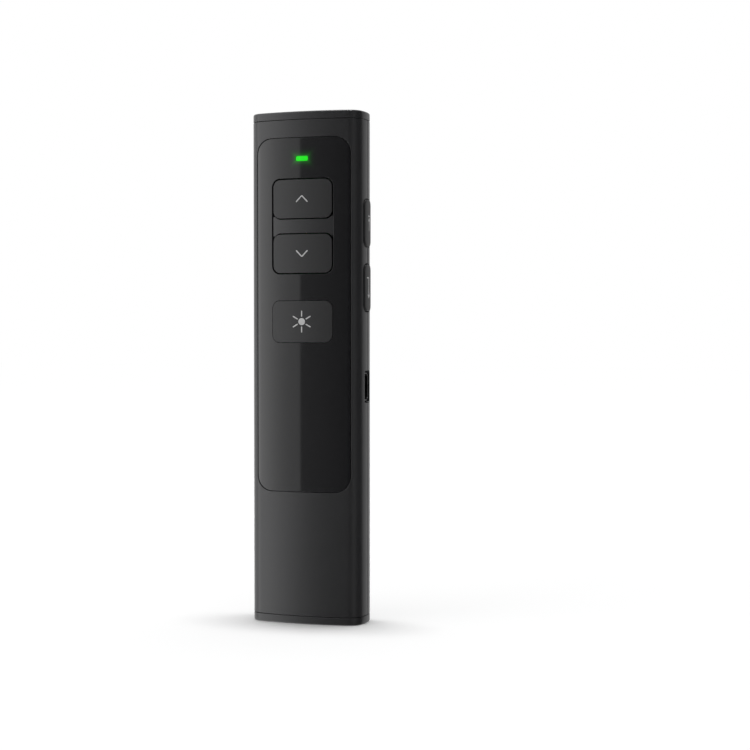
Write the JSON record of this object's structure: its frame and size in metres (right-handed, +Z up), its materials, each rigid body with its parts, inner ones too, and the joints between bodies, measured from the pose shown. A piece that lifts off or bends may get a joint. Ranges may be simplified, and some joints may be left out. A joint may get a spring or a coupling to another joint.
{
  "type": "wireless presentation clicker",
  "caption": "Slim upright slide remote with a glossy front panel, page and laser keys, side keys, a power slider, a charge port and a parked receiver.",
  "frame": {"origin": "middle of the bottom end face, on the surface the clicker stands on", "axes": "+Z up along the length, -Y out of the front face with the keys, +X out of the side with the side keys and the charge port"},
  "size_m": [0.0318, 0.0146, 0.135],
  "materials": {
    "shell_plastic": "satin charcoal moulding",
    "panel_gloss": "polished black overlay",
    "key_plastic": "fine matte",
    "slider_plastic": "fine matte, ribbed",
    "light_pipe": "clear pipe lit green",
    "board_green": "solder mask",
    "steel": "plated",
    "brass": "turned",
    "gold_contact": "gold plated",
    "black_plastic": "moulded",
    "white_plastic": "moulded",
    "chip_epoxy": "moulded",
    "lens_glass": "clear",
    "window_glass": "tinted",
    "pouch_foil": "soft foil",
    "tape": "adhesive foam",
    "lead_red": "sleeved",
    "lead_black": "sleeved"
  },
  "bodies": {
    "case": {"front_shell": "shell_plastic", "rear_shell": "shell_plastic", "front_panel": "panel_gloss", "top_cap": "shell_plastic", "bottom_cap": "shell_plastic", "page_up_switch": "steel", "page_down_switch": "steel", "laser_key_switch": "steel", "tab_switch": "steel", "enter_switch": "steel", "power_switch_body": "steel", "indicator_light_pipe": "light_pipe", "status_lamp": "white_plastic", "main_board": "board_green", "board_screws": "steel", "radio_chip": "chip_epoxy", "crystal_can": "steel", "charge_port_shell": "steel", "charge_port_insert": "black_plastic", "laser_barrel": "brass", "laser_diode": "brass", "laser_lens": "lens_glass", "laser_window": "window_glass", "battery_cell": "pouch_foil", "battery_tape": "tape", "battery_guard_board": "board_green", "battery_lead_positive": "lead_red", "battery_lead_negative": "lead_black"},
    "page_up": {"page_up_key": "key_plastic", "page_up_plunger": "black_plastic"},
    "page_down": {"page_down_key": "key_plastic", "page_down_plunger": "black_plastic"},
    "laser_button": {"laser_key": "key_plastic", "laser_key_plunger": "black_plastic"},
    "tab_button": {"tab_key": "key_plastic", "tab_plunger": "black_plastic"},
    "enter_button": {"enter_key": "key_plastic", "enter_plunger": "black_plastic"},
    "power": {"power_slider": "slider_plastic", "power_switch_lever": "black_plastic"},
    "receiver": {"receiver_grip": "black_plastic", "receiver_plug_shell": "steel", "receiver_tongue": "white_plastic", "receiver_contacts": "gold_contact"}
  },
  "joints": [
    {"name": "page_up_press", "type": "slide", "parent": "case", "child": "page_up", "axis": [0, 1, 0], "range_m": [0, 0.00035], "stiffness_N_per_m": 3000},
    {"name": "page_down_press", "type": "slide", "parent": "case", "child": "page_down", "axis": [0, 1, 0], "range_m": [0, 0.00035], "stiffness_N_per_m": 3000},
    {"name": "laser_press", "type": "slide", "parent": "case", "child": "laser_button", "axis": [0, 1, 0], "range_m": [0, 0.00035], "stiffness_N_per_m": 3000},
    {"name": "tab_press", "type": "slide", "parent": "case", "child": "tab_button", "axis": [-1, 0, 0], "range_m": [0, 0.0003], "stiffness_N_per_m": 3000},
    {"name": "enter_press", "type": "slide", "parent": "case", "child": "enter_button", "axis": [-1, 0, 0], "range_m": [0, 0.0003], "stiffness_N_per_m": 3000},
    {"name": "power_slide", "type": "slide", "parent": "case", "child": "power", "axis": [0, 0, -1], "range_m": [0, 0.0018]},
    {"name": "receiver_slide", "type": "slide", "parent": "case", "child": "receiver", "axis": [0, 0, -1], "range_m": [0, 0.019]}
  ]
}
